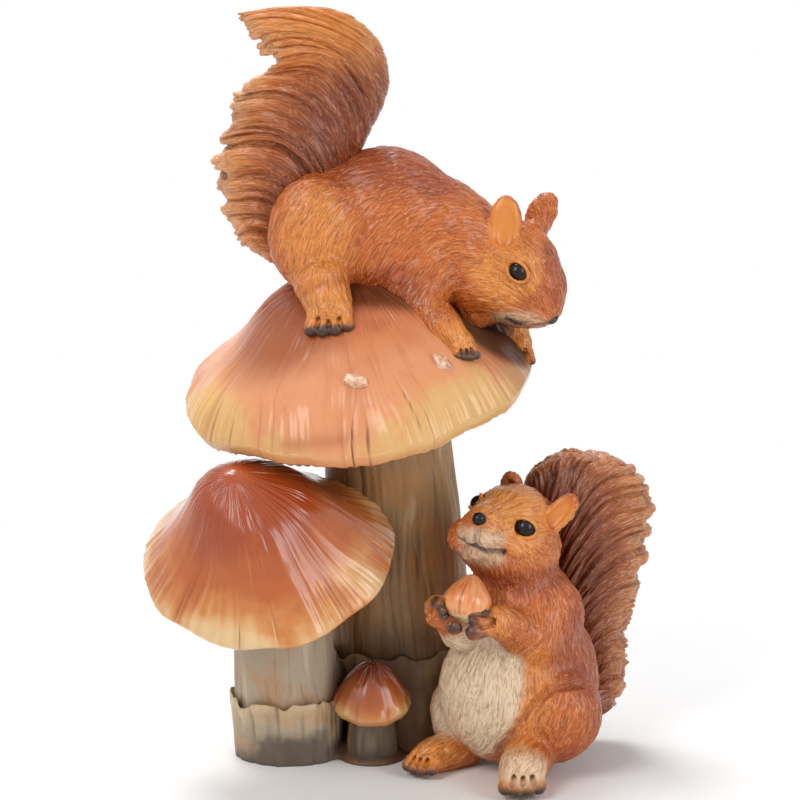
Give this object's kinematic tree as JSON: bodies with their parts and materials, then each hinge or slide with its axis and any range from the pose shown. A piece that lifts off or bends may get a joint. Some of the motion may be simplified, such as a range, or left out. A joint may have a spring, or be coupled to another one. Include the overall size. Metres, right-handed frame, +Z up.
{
  "type": "squirrel figurine",
  "caption": "Cast resin ornament: one squirrel lies on a tall mushroom's cap and another sits at its foot with a nut, beside smaller mushrooms.",
  "frame": {"origin": "on the table, in the flat foot that carries the three stems, close to the large stem's front edge", "axes": "+Z up, +X to the right seen from the front, +Y to the back; the front faces -Y"},
  "size_m": [0.1673, 0.1263, 0.2455],
  "materials": {
    "fur": "painted and varnished resin, satin",
    "tail_fur": "painted and varnished resin, satin",
    "cap_skin": "painted and varnished resin, gloss",
    "stem_bark": "painted resin, satin",
    "bead": "black gloss",
    "nut_shell": "painted resin, satin",
    "dowel": "bare turned wood",
    "pin": "drawn wire"
  },
  "bodies": {
    "root": {"big_stem": "stem_bark", "left_stem": "stem_bark", "small_stem": "stem_bark", "big_cap": "cap_skin", "left_cap": "cap_skin", "small_cap": "cap_skin", "upper_squirrel": "fur", "lower_squirrel": "fur", "upper_tail": "tail_fur", "lower_tail": "tail_fur", "upper_eyes": "bead", "lower_eyes": "bead", "lower_nose": "bead", "hazelnut": "nut_shell", "cap_dowels": "dowel", "tail_pins": "pin", "seat_pins": "pin"}
  },
  "joints": []
}
